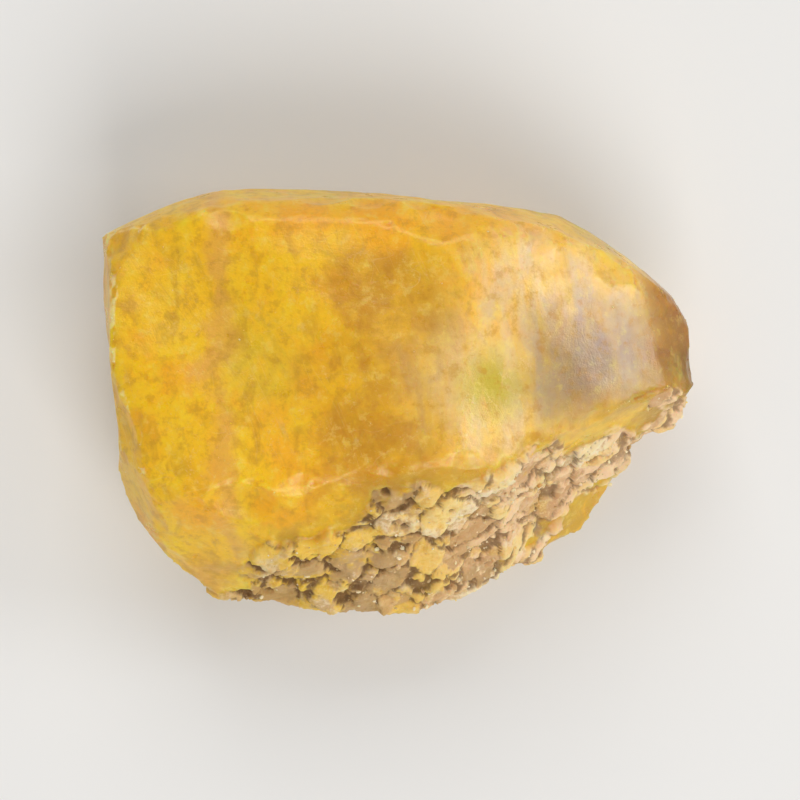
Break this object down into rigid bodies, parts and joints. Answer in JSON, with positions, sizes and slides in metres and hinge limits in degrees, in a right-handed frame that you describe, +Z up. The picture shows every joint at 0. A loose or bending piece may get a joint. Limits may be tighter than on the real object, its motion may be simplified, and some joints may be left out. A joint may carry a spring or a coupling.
{
  "type": "raw amber piece",
  "caption": "Irregular broken lump of cloudy yolk-yellow raw amber with conchoidal faces, crisp edges and a weathered rind along one side, lying on its flattest face.",
  "frame": {"origin": "on the resting plane, under the middle of the lump's bounding box", "axes": "+X along the lump's length towards its thin end, +Y across it towards its steep back, +Z up"},
  "size_m": [0.0138, 0.0098, 0.0066],
  "materials": {
    "amber": "cloudy, translucent yolk-yellow resin, satin on the broken faces and glossy on the freshest one",
    "rind": "dry weathered rind, rough and pitted, tan and cream over the yellow",
    "inclusion": "brown bark dust, flow veils and bubbles sealed in the resin"
  },
  "bodies": {
    "root": {"amber_piece": "amber"}
  },
  "joints": []
}
